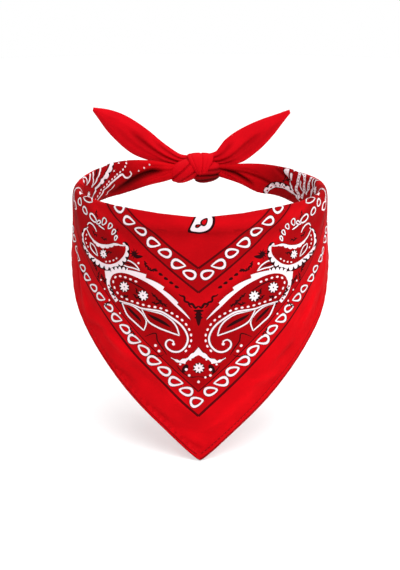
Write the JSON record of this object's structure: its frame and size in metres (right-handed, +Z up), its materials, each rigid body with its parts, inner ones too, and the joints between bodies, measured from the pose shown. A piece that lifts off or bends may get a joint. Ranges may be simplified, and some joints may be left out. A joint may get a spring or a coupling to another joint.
{
  "type": "bandana",
  "caption": "Square cotton bandana folded on its diagonal, rolled into a neck ring and tied behind, with its corner hanging as a bib in front.",
  "frame": {"origin": "middle of the neck ring, level with its upper edge, where the wearer's neck passes through", "axes": "+Z up along the neck, the bib hangs at -Y in front, the knot is at +Y behind, +X to the right seen from the front"},
  "size_m": [0.1889, 0.1678, 0.2175],
  "materials": {
    "printed_cotton": "plain-woven cotton, red ground with a white and black paisley print, matt with a faint sheen",
    "plain_cotton": "plain-woven cotton, unprinted red margin, matt with a faint sheen"
  },
  "bodies": {
    "root": {"bib": "printed_cotton", "band_left": "printed_cotton", "band_right": "printed_cotton", "knot_strap": "plain_cotton", "knot_left_lobe": "plain_cotton", "knot_right_lobe": "plain_cotton", "tail_left": "plain_cotton", "tail_right": "plain_cotton"}
  },
  "joints": []
}
